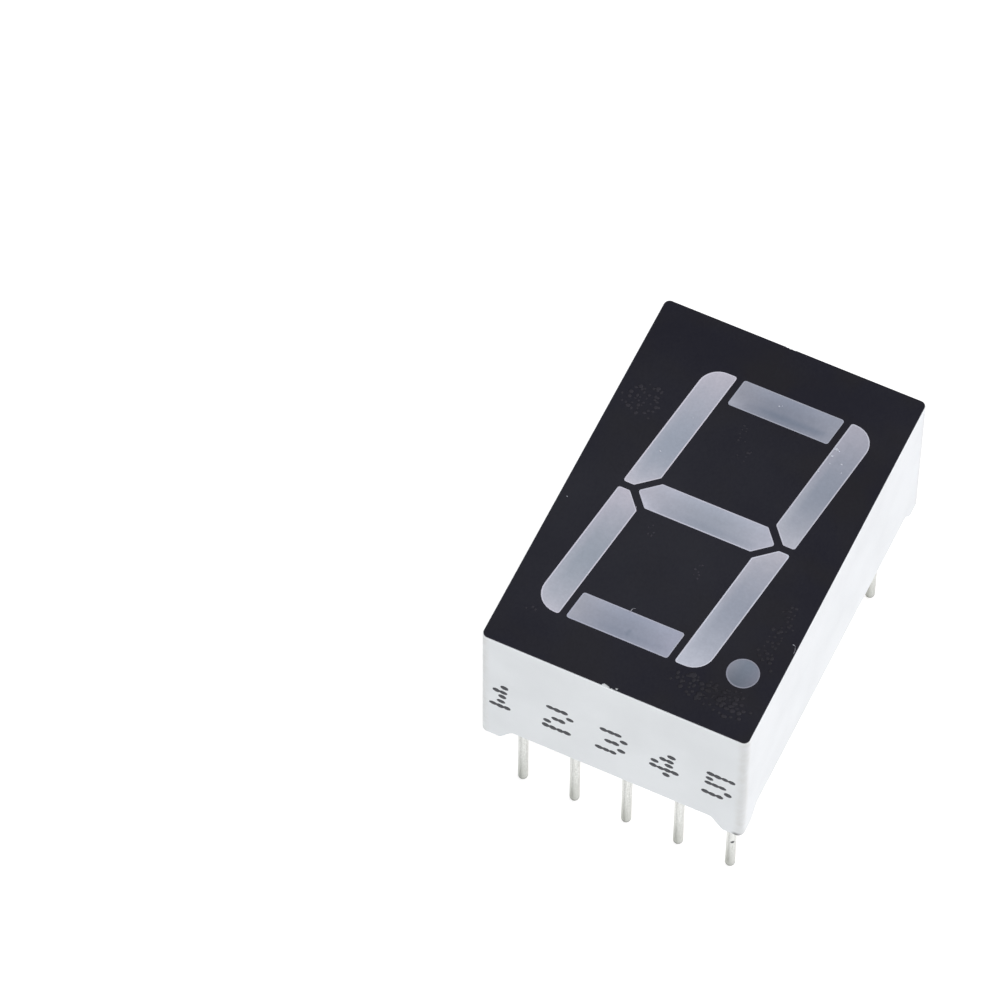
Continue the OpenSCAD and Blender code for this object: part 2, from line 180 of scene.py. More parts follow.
# coat: screen-printed black ink, satin, with a few blistered patches
coat = {
    "ink": "#0a0a1e", "paleAndSheen": "#1e1f2a", "roughness": (0.46, 0.6),
    "raised": ("#22212a", "#36343f"), "raisedRoughness": (0.5, 0.64),    # both tones of the blisters, lighter than the film: a painted highlight
    "mesh": 0.09, "meshDepth": 0.003,    # mm, mesh of the printing screen
    "cloud": 3.0,           # mm
    # how much of the pale tone comes from the clouds, from the mesh and from the painted sheen
    "cloudShare": (-0.15, 0.2), "meshShare": (-0.12, 0.2), "sheenShare": (0.8, 0.1),
    "sheenPlace": (-3.0, -2.0), "sheenReach": (2.0, 10.5),    # mm, a painted sheen, paler round this place
    "warm": "#131119", "warmShare": 0.7,
    "warmFineness": 1.3,    # the warm clouds are finer than the others by this
    # blistered patches: middle and half size in mm, across and up from the face's centre, and
    # the size of their blisters as a share of the usual
    "patches": [(-4.9, 4.4, 1.2, 1.0, 0.8), (2.7, -7.75, 1.1, 0.5, 1), (3.7, -7.9, 1.2, 0.7, 1),
                (4.5, -8.0, 1.3, 0.95, 1), (5.2, -5.1, 0.6, 1.2, 0.85), (5.3, -3.7, 0.5, 1.2, 0.8),
                (-4.7, -7.4, 0.5, 0.26, 0.7), (5.0, -2.8, 0.35, 0.22, 0.9), (-0.3, 4.5, 0.35, 0.6, 0.5),
                (0.15, 3.6, 0.35, 0.6, 0.5), (-1.9, -1.6, 0.4, 0.3, 0.5), (0.9, -2.6, 0.4, 0.5, 0.45)],
    "fringe": (0.6, 1.05),    # shares of its half size between which a patch thins out
    "spacing": 0.24,        # mm between blisters
    "jitter": 0.4,          # share of the spacing by which they stray
    "blister": (0.06, 0.11),    # mm, least and greatest radius
    "stretch": (0.75, 1.5),    # least and greatest stretch, apart across and up
    "blisterRise": 0.008,   # mm
    "clear": 0.16,          # mm, blisters stay this far from the resin
}


def inkMaterial(name, ink, paleAndSheen, roughness):
    # printing leaves a flat film with the screen's mesh in it and slow clouds of thickness, and
    # a painted sheen makes the film paler round one place
    material, tree, place = startMaterial(name)
    cloud = addNode(tree, "TexNoise", {"Vector": place, "Scale": 1 / (coat["cloud"] * mm),
                                       "Detail": 2}, "Fac")
    mesh = addNode(tree, "TexNoise", {"Vector": place, "Scale": 1 / (coat["mesh"] * mm), "Detail": 2,
                                      "Roughness": 0.6}, "Fac")
    factor = roundSpot(tree, place, (*coat["sheenPlace"], high.z / mm), coat["sheenReach"],
                       coat["sheenShare"])
    for noise, top, (least, most) in ((mesh, 0.75, coat["meshShare"]), (cloud, 0.7, coat["cloudShare"])):
        part = addNode(tree, "MapRange", {"Value": noise, "From Min": 0.35, "From Max": top,
                                          "To Min": least, "To Max": most})
        factor = addNode(tree, "Math", {"operation": "ADD", 0: factor, 1: part})
    warm = addNode(tree, "TexNoise", {"Vector": place, "Detail": 1,
                                      "Scale": coat["warmFineness"] / (coat["cloud"] * mm)}, "Fac")
    warm = addNode(tree, "MapRange", {"Value": warm, "From Min": 0.45, "From Max": 0.65,
                                      "To Max": coat["warmShare"]})
    dark = addNode(tree, "Mix", {"data_type": "RGBA", "Factor": warm, 6: linear(ink),
                                 7: linear(coat["warm"])}, 2)
    colour = addNode(tree, "Mix", {"data_type": "RGBA", "Factor": factor, 6: dark, 7: linear(paleAndSheen)}, 2)
    smooth, dull = roughness
    rough = addNode(tree, "MapRange", {"Value": mesh, **wideNoise, "To Min": smooth, "To Max": dull})
    bump = addNode(tree, "Bump", {"Height": mesh, "Distance": coat["meshDepth"] * mm, "Strength": 1.0})
    return finishMaterial(material, {"Base Color": colour, "Roughness": rough, "Normal": bump, "IOR": 1.45})


# resin: milky diffusing epoxy, with painted light: lighter at the ends, greyer over the deep middle of each
# funnel
resin = {
    # tone at the left or lower end, in the middle, at the other end, and the middle's shift
    # towards the other end as a share of the half length
    "segment_a": ("#a7aab7", "#9198a9", "#a5aab9", 0.0),
    "segment_b": ("#cacdd9", "#9ca4b4", "#bdbdcb", -0.1),
    "segment_c": ("#d0d5e3", "#a6adbd", "#cacad6", 0.05),
    "segment_d": ("#b2b5c2", "#9da4b6", "#b0b4c7", 0.0),
    "segment_e": ("#cfd1de", "#a8b1bf", "#cfcddb", -0.1),
    "segment_f": ("#d2d3e0", "#a9b2c2", "#d0cedb", -0.3),
    "segment_g": ("#c7c8d6", "#aab1c0", "#c5c8d7", 0.05),
    "decimal_point": ("#9194a1", "#7a8392", "#888b9b", 0.0),
    "lean": math.radians(8),
    "fall": 1.7,            # power of the fall from the ends to the middle
    "levelLift": 0.17,      # painted light: level segments are lighter along their upper side
    # painted light: upright ones take their ends' tone along their left side, by this much
    "sideLift": {"segment_b": 0.44, "segment_c": 0.42, "segment_e": 0.3, "segment_f": 0.28},
    "rightFall": 0.985,     # and painted shade darkens them a little to the right
    "pointTilt": (0.86, 1.18),    # painted shade and light: the point is darker below and lighter above
    # painted shadow of the funnel's wall, a dark band beside the middle of a level segment: strength,
    # its line as a share of the half width, and how much lighter painted light makes the lower left corner
    "band": {"segment_a": (0.42, -0.5, 0.24), "segment_d": (0.15, -0.55, 0.06),
             "segment_g": (0.16, -0.62, 0.4)},
    "bandHalf": 0.42,       # half width of the band, as a share of the segment's
    # tone of the painted shadow, and of the inclusion's spots
    "bandTone": "#6c7b90",
    # a dim inclusion: places of its two lumps in mm
    "spots": {"segment_d": ((-0.61, -6.56), (-0.65, -6.74))}, "spotReach": 0.15, "spotShare": 0.36,
    "streak": 0.45,         # mm, width of the flow streaks
    "wander": 0.06,         # share of the half length by which the tones stray
    "changeover": 0.1,      # from one end's tone to the other's, within this share of the middle
    "speck": 0.12, "speckGain": (0.98, 1.05),    # mm, filler grains
    "wave": 0.8, "waveDepth": 0.01,    # mm, unevenness of the cast surface
    "roughness": (0.3, 0.42),
}


def barWays(tree, place, name):
    # the ways along and across a resin bar, each from -1 to 1, once its lean is taken out
    boxLow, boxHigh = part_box(name)
    half = (boxHigh - boxLow) / 2
    slope = math.tan(resin["lean"])
    if name != "decimal_point":
        half.x -= half.y * slope
    centre = ((boxLow.x + boxHigh.x) / 2, (boxLow.y + boxHigh.y) / 2, high.z)
    centred = addNode(tree, "VectorMath", {"operation": "SUBTRACT", 0: place, 1: centre})
    split = addNode(tree, "SeparateXYZ", {"Vector": centred}).node.outputs
    lean = addNode(tree, "Math", {"operation": "MULTIPLY", 0: split["Y"], 1: slope})
    square = addNode(tree, "Math", {"operation": "SUBTRACT", 0: split["X"], 1: lean})
    across, up = (addNode(tree, "Math", {"operation": "DIVIDE", 0: way, 1: size})
                  for way, size in ((square, half.x), (split["Y"], half.y)))
    return (up, across) if name in resin["sideLift"] else (across, up)


def depthAlong(tree, share, shift):
    # 0 over the middle, which lies off the bar's own by the shift, and 1 at either end
    toRight = addNode(tree, "Math", {"operation": "MULTIPLY_ADD", 0: share, 1: 1 / (1 - shift),
                                     2: -shift / (1 - shift)})
    toLeft = addNode(tree, "Math", {"operation": "MULTIPLY_ADD", 0: share, 1: -1 / (1 + shift),
                                    2: shift / (1 + shift)})
    depth = addNode(tree, "Math", {"operation": "MAXIMUM", 0: toRight, 1: toLeft})
    return addNode(tree, "Math", {"operation": "POWER", 0: depth, 1: resin["fall"]})


def resinSteps(tree, name, share, aside):
    # eased steps over the bar: what each follows, its start and end, and the level at both
    if name in resin["sideLift"]:
        steps = {"left": (aside, -1, -0.25, resin["sideLift"][name], 0),
                 "right": (aside, 0, 1, 1, resin["rightFall"])}
    elif name in resin["band"]:
        strength, line, cornerLift = resin["band"][name]
        offMiddle = addNode(tree, "Math", {"operation": "ABSOLUTE", 0: share})
        offLine = addNode(tree, "Math", {"operation": "SUBTRACT", 0: aside, 1: line})
        offLine = addNode(tree, "Math", {"operation": "ABSOLUTE", 0: offLine})
        steps = {"inner": (offMiddle, 0.5, 1, 1, 0.2), "upper": (aside, 0, 1, 0, resin["levelLift"]),
                 "band": (offLine, 0, resin["bandHalf"], strength, 0), "start": (share, -0.85, 0, 0, 1),
                 "end": (share, 0.7, 1, 1, 0.1), "lower": (aside, -1, 0, cornerLift, 0),
                 "corner": (share, -1, -0.6, 1, 0)}
    else:
        steps = {"tilt": (aside, -1, 1, *resin["pointTilt"])}
    for key, (value, start, end, least, most) in steps.items():
        steps[key] = addNode(tree, "MapRange", {**eased, "Value": value, "From Min": start, "From Max": end,
                                                "To Min": least, "To Max": most})
    return steps


def resinMaterial(name):
    # casting gives a clean glossy skin over a cloudy body; the light from the funnel's walls and the grey
    # of its depth are painted
    left, middle, right, shift = resin[name]
    material, tree, place = startMaterial("diffusingEpoxy_" + name)
    streaks = addNode(tree, "TexNoise", {"Vector": place, "Scale": 1 / (resin["streak"] * mm), "Detail": 3,
                                         "Roughness": 0.55}, "Fac")
    specks, wave = (addNode(tree, "TexNoise", {"Vector": place, "Scale": 1 / (resin[key] * mm),
                                               "Detail": 2}, "Fac") for key in ("speck", "wave"))

    # share runs from -1 to 1 along the bar
    along, aside = barWays(tree, place, name)
    wander = addNode(tree, "MapRange", {"Value": streaks, **wideNoise,
                                        "To Min": -resin["wander"], "To Max": resin["wander"]})
    share = addNode(tree, "Math", {"operation": "ADD", 0: along, 1: wander})
    depth = depthAlong(tree, share, shift)
    steps = resinSteps(tree, name, share, aside)
    # painted light: upright bars take more of their ends' tone along their left side
    if "left" in steps:
        rest = addNode(tree, "Math", {"operation": "SUBTRACT", 0: 1.0, 1: depth})
        depth = addNode(tree, "Math", {"operation": "MULTIPLY_ADD", 0: rest, 1: steps["left"], 2: depth})
    # painted light: the ends' light tones fall to the middle's grey with depth
    side = addNode(tree, "MapRange", {"Value": share, "From Min": -resin["changeover"],
                                      "From Max": resin["changeover"]})
    ends = addNode(tree, "Mix", {"data_type": "RGBA", "Factor": side, 6: linear(left), 7: linear(right)}, 2)
    colour = addNode(tree, "Mix", {"data_type": "RGBA", "Factor": depth, 6: linear(middle), 7: ends}, 2)

    # a painted shadow in the band, and the dim inclusion's spots, in one dark tone
    shadowAndSpots = []
    if "band" in steps:
        band = addNode(tree, "Math", {"operation": "MULTIPLY", 0: steps["band"], 1: steps["start"]})
        shadowAndSpots = [addNode(tree, "Math", {"operation": "MULTIPLY", 0: band, 1: steps["end"]})]
    for x, y in resin["spots"].get(name, ()):
        shadowAndSpots.append(roundSpot(tree, place, (x, y, high.z / mm), (0, resin["spotReach"]),
                                 (resin["spotShare"], 0)))
    for darkening in shadowAndSpots:
        colour = addNode(tree, "Mix", {"data_type": "RGBA", "Factor": darkening, 6: colour,
                                       7: linear(resin["bandTone"])}, 2)

    # lighter and darker by the specks, and by painted light and shade from side to side
    least, most = resin["speckGain"]
    gain = addNode(tree, "MapRange", {"Value": specks, **upperNoise, "To Min": least, "To Max": most})
    parts = [steps[key] for key in ("right", "tilt") if key in steps]
    if "band" in steps:
        parts = [addNode(tree, "Math", {"operation": "MULTIPLY_ADD", 0: steps[amount],
                                        1: steps[where], 2: 1})
                 for amount, where in (("upper", "inner"), ("lower", "corner"))]
    for part in parts:
        gain = addNode(tree, "Math", {"operation": "MULTIPLY", 0: gain, 1: part})
    colour = addNode(tree, "VectorMath", {"operation": "SCALE", 0: colour, "Scale": gain})
    smooth, dull = resin["roughness"]
    rough = addNode(tree, "MapRange", {"Value": streaks, **wideNoise, "To Min": smooth, "To Max": dull})
    bump = addNode(tree, "Bump", {"Height": wave, "Distance": resin["waveDepth"] * mm, "Strength": 1.0})
    return finishMaterial(material, {"Base Color": colour, "Roughness": rough, "Normal": bump, "IOR": 1.52})


# pins: hot-dipped tin, bright at the casing, and painted shade darkens them towards the cut tip
tin = {
    "bright": "#e9eae8", "dull": "#c3c5c1", "tip": "#acaea8", "cut": "#6e706a",
    "roughness": (0.3, 0.5),
    "streak": (0.05, 0.05, 0.6),    # mm, width and length of the drawn marks under the tin
    "pit": 0.07, "pitDepth": 0.006,    # mm
    "tipReach": 3.2,        # mm over which painted shade darkens the pin
    # mm to the right of a pin's middle, over which the painted shade falls to this share
    "litSide": (0, 0.2), "litSideShare": 0.55,
    "cutReach": 0.38,       # mm of the tip left rough by the cutter
    "darkReflection": -0.025, "darkReflectionHalf": 0.1,    # mm, place and half width of the painted reflection, a dark line down each pin
    "darkReflectionGain": 0.72,
    "fleck": (5.23, -7.82, 2.38), "fleckReach": (0.065, 0.13),    # mm, flux on pin 5
    "fleckTone": "#4a4c4e",
}


def tinMaterial():
    # drawing leaves fine lines along the wire, and dipping softens them and adds small pits
    material, tree, place = startMaterial("dippedTin")
    fineness = [1 / (size * mm) for size in tin["streak"]]
    stretched = addNode(tree, "Mapping", {"Vector": place, "Scale": fineness})
    streaks = addNode(tree, "TexNoise", {"Vector": stretched, "Scale": 1.0, "Detail": 2,
                                         "Roughness": 0.6}, "Fac")
    pits = addNode(tree, "TexNoise", {"Vector": place, "Scale": 1 / (tin["pit"] * mm), "Detail": 2}, "Fac")
    mottle = addNode(tree, "Math", {"operation": "MULTIPLY", 0: streaks, 1: pits})
    tone = addNode(tree, "MapRange", {"Value": mottle, "From Min": 0.12, "From Max": 0.36})
    colour = addNode(tree, "Mix", {"data_type": "RGBA", "Factor": tone, 6: linear(tin["dull"]),
                                   7: linear(tin["bright"])}, 2)

    # the painted shade towards the tip, weaker right of each pin's middle, and the tip's rough end, by
    # height
    split = addNode(tree, "SeparateXYZ", {"Vector": place}).node.outputs
    across = addNode(tree, "Math", {"operation": "WRAP", 0: split["X"], 1: pinStep / 2, 2: -pinStep / 2})
    near, far = tin["litSide"]
    tipShadeLevel = addNode(tree, "MapRange", {**eased, "Value": across, "From Min": near * mm, "From Max": far * mm,
                                      "To Min": 1, "To Max": tin["litSideShare"]})
    for key, level in (("tip", tipShadeLevel), ("cut", 1)):
        reach = tin[key + "Reach"] * mm
        share = addNode(tree, "MapRange", {**eased, "Value": split["Z"], "From Min": 0, "From Max": reach,
                                           "To Min": level, "To Max": 0})
        colour = addNode(tree, "Mix", {"data_type": "RGBA", "Factor": share, 6: colour,
                                       7: linear(tin[key])}, 2)

    # the painted reflection, a dark line down each pin broken by the streaks, and the fleck of flux
    offReflection = addNode(tree, "Math", {"operation": "SUBTRACT", 0: across, 1: tin["darkReflection"] * mm})
    offReflection = addNode(tree, "Math", {"operation": "ABSOLUTE", 0: offReflection})
    darkReflection = addNode(tree, "MapRange", {**eased, "Value": offReflection, "From Min": 0,
                                      "From Max": tin["darkReflectionHalf"] * mm, "To Min": 1, "To Max": 0})
    broken = addNode(tree, "MapRange", {"Value": streaks, "From Min": 0.35, "From Max": 0.55})
    darkReflection = addNode(tree, "Math", {"operation": "MULTIPLY", 0: darkReflection, 1: broken})
    darkReflection = addNode(tree, "MapRange", {"Value": darkReflection, "To Min": 1, "To Max": tin["darkReflectionGain"]})
    colour = addNode(tree, "VectorMath", {"operation": "SCALE", 0: colour, "Scale": darkReflection})
    fleck = roundSpot(tree, place, tin["fleck"], tin["fleckReach"], (1, 0))
    colour = addNode(tree, "Mix", {"data_type": "RGBA", "Factor": fleck, 6: colour,
                                   7: linear(tin["fleckTone"])}, 2)
    smooth, dull = tin["roughness"]
    rough = addNode(tree, "MapRange", {"Value": streaks, **wideNoise, "To Min": smooth, "To Max": dull})
    bump = addNode(tree, "Bump", {"Height": mottle, "Distance": tin["pitDepth"] * mm, "Strength": 1.0})
    return finishMaterial(material, {"Base Color": colour, "Roughness": rough, "Normal": bump,
                                     "Metallic": 1.0})


# the other metals: bright and dull tone, blotch in mm, roughness
metals = {
    "dullSolder": ("#c9cacb", "#a3a5a8", 0.4, 0.4),      # reflowed, frosted by its crystals
    "etchedCopper": ("#c9855a", "#9c5f42", 0.8, 0.35),   # rolled foil, browned by the air
    "drawnGold": ("#e6bb62", "#cf9f45", 0.2, 0.2),       # bright and clean
    "grain": 0.2,           # share of the blotch
    "grainDepth": 0.003,    # mm
    "polish": (0.8, 1.3),   # least and greatest share of the roughness
}


def metalMaterial(name):
    # blotches of oxide over a fine grain
    bright, dull, blotch, roughness = metals[name]
    material, tree, place = startMaterial(name)
    patches = addNode(tree, "TexNoise", {"Vector": place, "Scale": 1 / (blotch * mm), "Detail": 4,
                                         "Roughness": 0.6}, "Fac")
    grain = addNode(tree, "TexNoise", {"Vector": place, "Scale": 1 / (metals["grain"] * blotch * mm),
                                       "Detail": 2}, "Fac")
    tone = addNode(tree, "MapRange", {"Value": patches, **upperNoise})
    colour = addNode(tree, "Mix", {"data_type": "RGBA", "Factor": tone, 6: linear(bright),
                                   7: linear(dull)}, 2)
    least, most = metals["polish"]
    rough = addNode(tree, "MapRange", {"Value": patches, **wideNoise,
                                       "To Min": roughness * least, "To Max": roughness * most})
    bump = addNode(tree, "Bump", {"Height": grain, "Distance": metals["grainDepth"] * mm, "Strength": 1.0})
    return finishMaterial(material, {"Base Color": colour, "Roughness": rough, "Normal": bump,
                                     "Metallic": 1.0})


# board: glass-cloth epoxy laminate
board = {
    "resin": "#cfc79c", "thread": "#ded9bd", "roughness": (0.45, 0.35),
    "pitch": 0.4, "threadDepth": 0.005,    # mm, pitch of the cloth
    "wavePeriod": 0.314,    # the wave texture's bands repeat after this at a scale of 1
}


def laminateMaterial():
    # pressed cloth shows as a faint square weave under the lacquer
    material, tree, place = startMaterial("glassClothLaminate")
    warp, weft = (addNode(tree, "TexWave", {"Vector": place, "bands_direction": way, "Distortion": 0.4,
                                            "Scale": board["wavePeriod"] / (board["pitch"] * mm)}, "Fac")
                  for way in "XY")
    weave = addNode(tree, "Math", {"operation": "MAXIMUM", 0: warp, 1: weft})
    colour = addNode(tree, "Mix", {"data_type": "RGBA", "Factor": weave, 6: linear(board["resin"]),
                                   7: linear(board["thread"])}, 2)
    dull, smooth = board["roughness"]
    rough = addNode(tree, "MapRange", {"Value": weave, "To Min": dull, "To Max": smooth})
    bump = addNode(tree, "Bump", {"Height": weave, "Distance": board["threadDepth"] * mm, "Strength": 1.0})
    return finishMaterial(material, {"Base Color": colour, "Roughness": rough, "Normal": bump, "IOR": 1.5})


# potting: pale epoxy poured behind the board
potting = {
    "pale": "#e3e1d8", "deep": "#d3d0c2", "roughness": (0.1, 0.24),
    "flow": 4, "skinDepth": 0.04,    # mm
    "bubble": 0.9,          # mm between bubbles
    "bubbleSize": (0.06, 0.12),    # inner and outer radius, as shares of that
    "bubbleTone": "#f4f3ee", "bubbleShare": 0.5,
}


def pottingMaterial():
    # pouring leaves a glossy, slightly wavy skin with a few bubbles under it
    material, tree, place = startMaterial("pouredEpoxy")
    flow = addNode(tree, "TexNoise", {"Vector": place, "Scale": 1 / (potting["flow"] * mm),
                                      "Detail": 3}, "Fac")
    tone = addNode(tree, "MapRange", {"Value": flow, **midNoise})
    colour = addNode(tree, "Mix", {"data_type": "RGBA", "Factor": tone, 6: linear(potting["deep"]),
                                   7: linear(potting["pale"])}, 2)
    cells = addNode(tree, "TexVoronoi", {"Vector": place,
                                         "Scale": 1 / (potting["bubble"] * mm)}, "Distance")
    inner, outer = potting["bubbleSize"]
    bubbles = addNode(tree, "MapRange", {**eased, "Value": cells, "From Min": inner, "From Max": outer,
                                         "To Min": potting["bubbleShare"], "To Max": 0})
    colour = addNode(tree, "Mix", {"data_type": "RGBA", "Factor": bubbles, 6: colour,
                                   7: linear(potting["bubbleTone"])}, 2)
    smooth, dull = potting["roughness"]
    rough = addNode(tree, "MapRange", {"Value": flow, **wideNoise, "To Min": smooth, "To Max": dull})
    skin = addNode(tree, "Math", {"operation": "ADD", 0: flow, 1: bubbles})
    bump = addNode(tree, "Bump", {"Height": skin, "Distance": potting["skinDepth"] * mm, "Strength": 1.0})
    return finishMaterial(material, {"Base Color": colour, "Roughness": rough, "Normal": bump, "IOR": 1.52})


# chips: sawn amber crystal
chip = {
    "light": "#b6a764", "dark": "#8f7d3c", "roughness": (0.2, 0.4),
    "saw": (0.03, 0.03, 0.12),    # mm, width and length of the saw's lines
}


def chipMaterial():
    # the saw leaves fine upright lines on a chip's sides
    material, tree, place = startMaterial("sawnCrystal")
    fineness = [1 / (size * mm) for size in chip["saw"]]
    stretched = addNode(tree, "Mapping", {"Vector": place, "Scale": fineness})
    saw = addNode(tree, "TexNoise", {"Vector": stretched, "Scale": 1.0, "Detail": 2}, "Fac")
    tone = addNode(tree, "MapRange", {"Value": saw, **wideNoise})
    colour = addNode(tree, "Mix", {"data_type": "RGBA", "Factor": tone, 6: linear(chip["light"]),
                                   7: linear(chip["dark"])}, 2)
    smooth, dull = chip["roughness"]
    rough = addNode(tree, "MapRange", {"Value": saw, **wideNoise, "To Min": smooth, "To Max": dull})
    return finishMaterial(material, {"Base Color": colour, "Roughness": rough, "IOR": 2.4})


dress(["housing"], casingMaterial())
dress(["face_coat"], inkMaterial("screenPrintedInk", coat["ink"], coat["paleAndSheen"], coat["roughness"]))
for name in resinNames:
    dress([name], resinMaterial(name))
dress(["pin_%d" % i for i in range(1, 11)], tinMaterial())
dress(["solder_joints"], metalMaterial("dullSolder"))
dress(["copper_tracks"], metalMaterial("etchedCopper"))
dress(["wire_" + s for s in letters] + ["wire_dp"], metalMaterial("drawnGold"))
dress(["circuit_board"], laminateMaterial())
dress(["back_resin"], pottingMaterial())
dress(["die_" + s for s in letters] + ["die_dp"], chipMaterial())
print("materials on the CAD nodes")


def onPlane(plane, across, upward, outward):
    # points from their places across, up and out of a plane, in mm
    origin, *ways = (np.array(v) for v in plane)
    parts = np.stack(np.broadcast_arrays(across, upward, outward), -1)
    return origin + mm * parts @ np.array(ways)


def addPiece(name, points, faces, material):
    # a smooth piece of the one body
    mesh = bpy.data.meshes.new(name)
    mesh.from_pydata(points.reshape(-1, 3).tolist(), [], faces)
    mesh.shade_smooth()
    mesh.materials.append(material)
    piece = bpy.data.objects.new(name, mesh)
    bpy.context.scene.collection.objects.link(piece)
    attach(piece, "root")
    print(name + ":", len(mesh.polygons), "faces")


def addDomes(name, plane, centres, halves, rises, material, rings=3, sides=10):
    # low domes over discs stretched to their half length and half width: at radius r of the
    # disc the height is rise * (1 - r^2), and a flat back closes each dome
    turn = np.tile(np.arange(sides) * 2 * np.pi / sides, rings)
    r = np.repeat(np.linspace(1, 1 / rings, rings), sides)
    disc = np.concatenate([np.stack([r * np.cos(turn), r * np.sin(turn)], 1), np.zeros((2, 2))])
    flat = centres[:, None] + halves[:, None] * disc
    height = np.broadcast_to(rises, len(centres))[:, None] * np.append(1 - r ** 2, [1, 0])
    i = np.arange(sides)
    j = (i + 1) % sides
    band = np.arange(rings - 1)[:, None] * sides
    last = (rings - 1) * sides
    top, under = (np.full(sides, rings * sides + extra) for extra in (0, 1))
    blocks = [np.stack([band + i, band + j, band + sides + j, band + sides + i], -1).reshape(-1, 4),
              np.stack([last + i, last + j, top], 1), np.stack([j, i, under], 1)]
    shift = np.arange(len(centres))[:, None, None] * len(disc)
    faces = [f for block in blocks for f in (block + shift).reshape(-1, block.shape[1]).tolist()]
    addPiece(name, onPlane(plane, flat[..., 0], flat[..., 1], height), faces, material)


# print: pin numbers 1 to 5 in ink-jet dots on the front wall, over their pins
marks = {
    "rows": {"1": ("0100", "1100", "0100", "0100", "1110"),
             "2": ("1110", "0001", "0110", "1000", "1111"),
             "3": ("1110", "0001", "0110", "0001", "1110"),
             "4": ("0010", "0110", "1010", "1111", "0010"),
             "5": ("1111", "1000", "1110", "0001", "1110")},
    "pitch": (0.33, 0.42),  # mm across and up; the dots of a level stroke run together
    "dot": (0.2, 0.155),    # mm, half length and half width
    "rise": 0.005,          # mm
    "lean": 0.12,           # mm to the right for each mm up
    "middle": 4.6,          # mm below the face
    "wander": 0.012,        # mm, scatter of the jet
    "spread": (0.9, 1.08),  # least and greatest share of the dot's size
    "ink": "#2e3035", "thin": "#45474d", "roughness": (0.5, 0.7),
    "blot": 0.12,           # mm
}


def jetInkMaterial():
    # a jet's dot dries matt and is thinner in blots
    material, tree, place = startMaterial("solventInk")
    blot = addNode(tree, "TexNoise", {"Vector": place, "Scale": 1 / (marks["blot"] * mm), "Detail": 3,
                                      "Roughness": 0.6}, "Fac")
    tone = addNode(tree, "MapRange", {"Value": blot, **upperNoise})
    colour = addNode(tree, "Mix", {"data_type": "RGBA", "Factor": tone, 6: linear(marks["ink"]),
                                   7: linear(marks["thin"])}, 2)
    smooth, dull = marks["roughness"]
    rough = addNode(tree, "MapRange", {"Value": blot, **wideNoise, "To Min": smooth, "To Max": dull})
    return finishMaterial(material, {"Base Color": colour, "Roughness": rough, "IOR": 1.45})


def addNumbers():
    # each figure's dots stand on a leaning grid whose middle is over its pin
    chance = np.random.default_rng(7)
    grid = np.array([[[c == "1" for c in row] for row in rows] for rows in marks["rows"].values()])
    figure, row, column = (place - (count - 1) / 2 for place, count in zip(np.nonzero(grid), grid.shape))
    up = -row * marks["pitch"][1]
    across = column * marks["pitch"][0] + up * marks["lean"] + figure * pinStep / mm
    centres = np.stack([across, up - marks["middle"]], 1) + chance.normal(0, marks["wander"], (len(row), 2))
    halves = np.array(marks["dot"]) * chance.uniform(*marks["spread"], (len(row), 2))
    addDomes("pin_numbers", wallPlane, centres, halves, marks["rise"], jetInkMaterial())


def addBlisters():
    # a jittered grid over the face, kept where it falls in a patch, thinner towards its rim
    chance = np.random.default_rng(5)
    reach = np.array([high.x, high.y]) / mm
    steps = [np.arange(-r, r, coat["spacing"]) for r in reach]
    centres = np.stack(np.meshgrid(*steps), -1).reshape(-1, 2)
    centres = centres + chance.uniform(-coat["jitter"], coat["jitter"], centres.shape) * coat["spacing"]
    patches = np.array(coat["patches"])
    away = np.linalg.norm((centres[:, None] - patches[:, :2]) / patches[:, 2:4], axis=2)
    share = patches[away.argmin(1), 4]
    keep = away.min(1) < chance.uniform(*coat["fringe"], len(away))
    for name in resinNames:
        boxLow, boxHigh = (np.array(c - faceCentre)[:2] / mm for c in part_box(name))
        outside = np.abs(centres - (boxLow + boxHigh) / 2) - (boxHigh - boxLow) / 2
        keep &= (outside > coat["clear"]).any(1)
    sizes = share[keep] * chance.uniform(*coat["blister"], keep.sum())
    rises = coat["blisterRise"] * sizes / coat["blister"][1]
    halves = sizes[:, None] * chance.uniform(*coat["stretch"], (len(sizes), 2))
    # the blisters' lighter ink is a painted highlight
    ink = inkMaterial("blisteredInk", *coat["raised"], coat["raisedRoughness"])
    addDomes("ink_blisters", facePlane, centres[keep], halves, rises, ink)


# lips: where the resin wets a funnel's rim it stands a little proud and, being thin there,
# shows more of the white wall's light, painted as a brighter tone
lips = {
    "width": 0.065, "rise": 0.006,    # mm
    "lift": 1.18,           # painted light: brighter than the ends of the resin by this
    "streak": 0.4,          # mm
    "roughness": (0.28, 0.4),
}


def lipMaterial(name):
    # drawn up thin and set clear, the resin is more even here than in its funnel, and painted light makes
    # it paler
    left, right = (linear(resin[name][end]) for end in (0, 2))
    material, tree, place = startMaterial("thinEpoxy_" + name)
    streaks = addNode(tree, "TexNoise", {"Vector": place, "Scale": 1 / (lips["streak"] * mm),
                                         "Detail": 3}, "Fac")
    tone = addNode(tree, "MapRange", {"Value": streaks, **wideNoise})
    colour = addNode(tree, "Mix", {"data_type": "RGBA", "Factor": tone, 6: left, 7: right}, 2)
    colour = addNode(tree, "VectorMath", {"operation": "SCALE", 0: colour, "Scale": lips["lift"]})
    smooth, dull = lips["roughness"]
    rough = addNode(tree, "MapRange", {"Value": streaks, **wideNoise, "To Min": smooth, "To Max": dull})
    return finishMaterial(material, {"Base Color": colour, "Roughness": rough, "IOR": 1.52})


